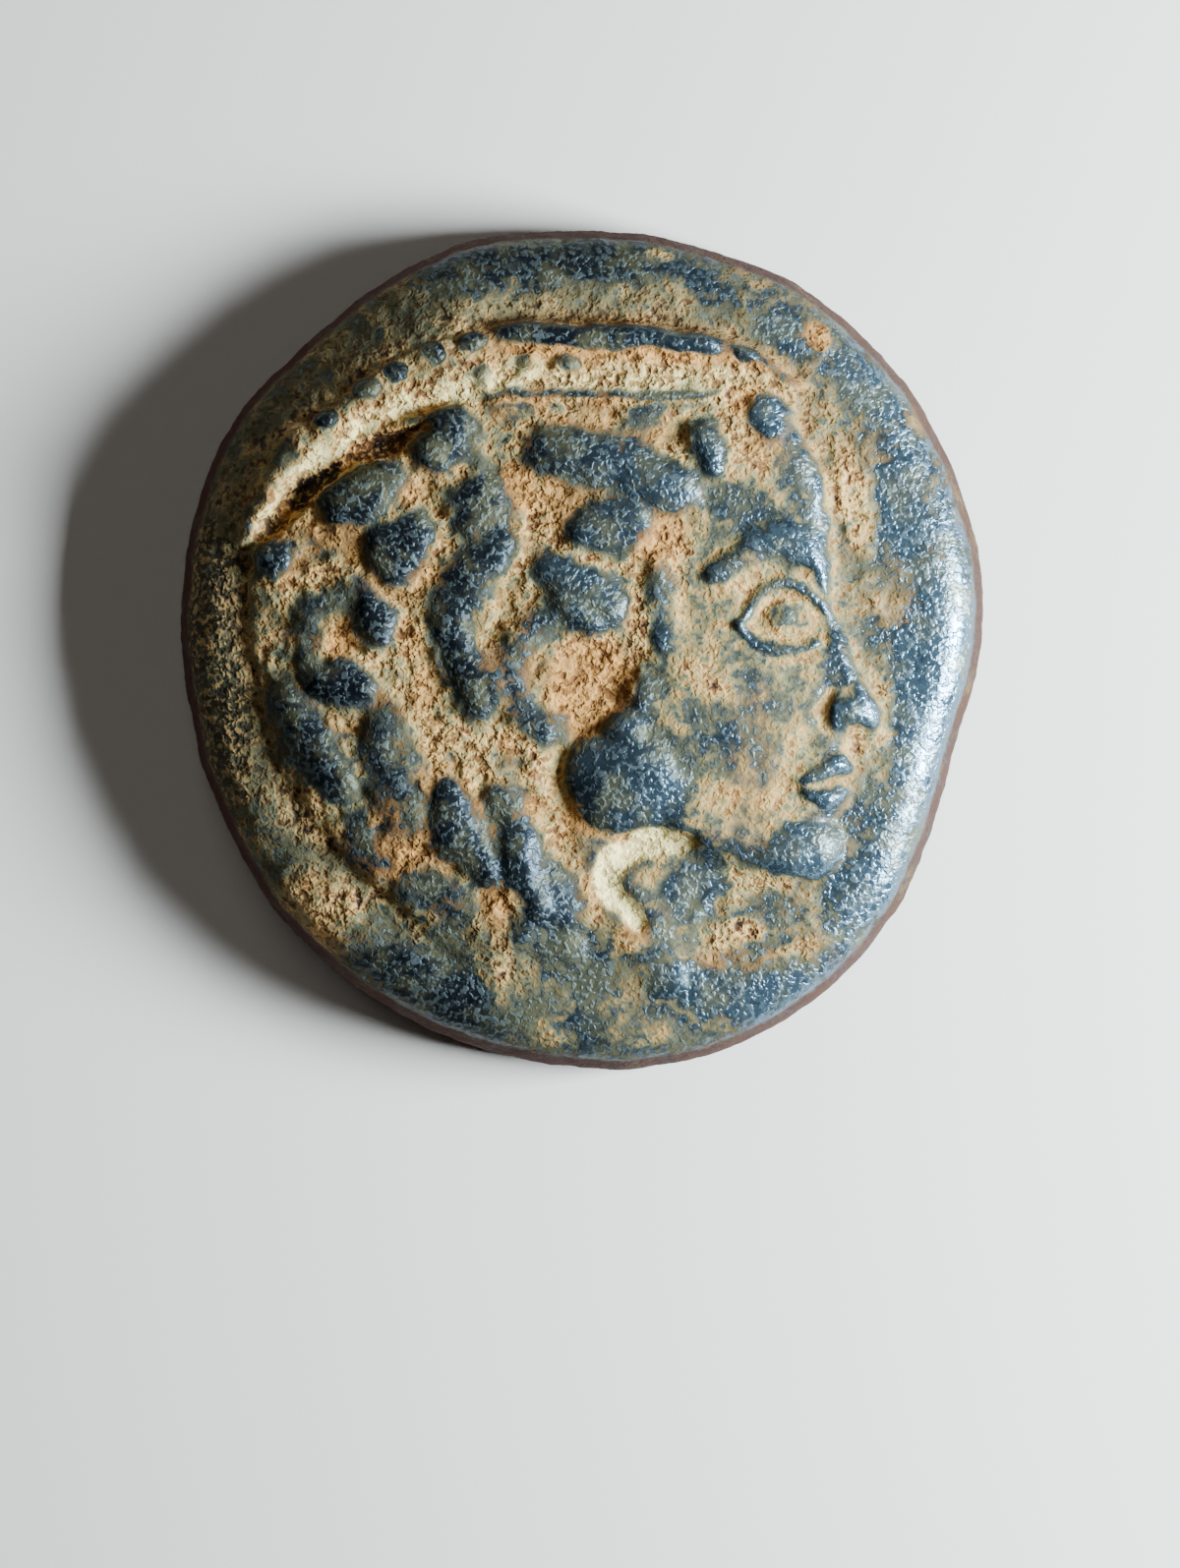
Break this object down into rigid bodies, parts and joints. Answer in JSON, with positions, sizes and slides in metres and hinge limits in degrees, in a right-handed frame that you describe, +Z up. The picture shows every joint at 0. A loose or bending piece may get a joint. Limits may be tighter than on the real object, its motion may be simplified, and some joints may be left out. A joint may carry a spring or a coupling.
{
  "type": "ancient bronze coin",
  "caption": "Worn ancient bronze coin, an irregular thick round flan with a head in profile in relief on one side and a rayed star on the other.",
  "frame": {"origin": "on the table under the middle of the flan, at the middle of the reverse's flat worn boss", "axes": "+Z up out of the obverse, +Y towards the crown of the head, +X the way the head faces"},
  "size_m": [0.0187, 0.0196, 0.0037],
  "materials": {
    "bronze": "dark blue-brown patina, polished by wear on the high relief, with tan and cream earth in the hollows"
  },
  "bodies": {
    "root": {"coin": "bronze"}
  },
  "joints": []
}
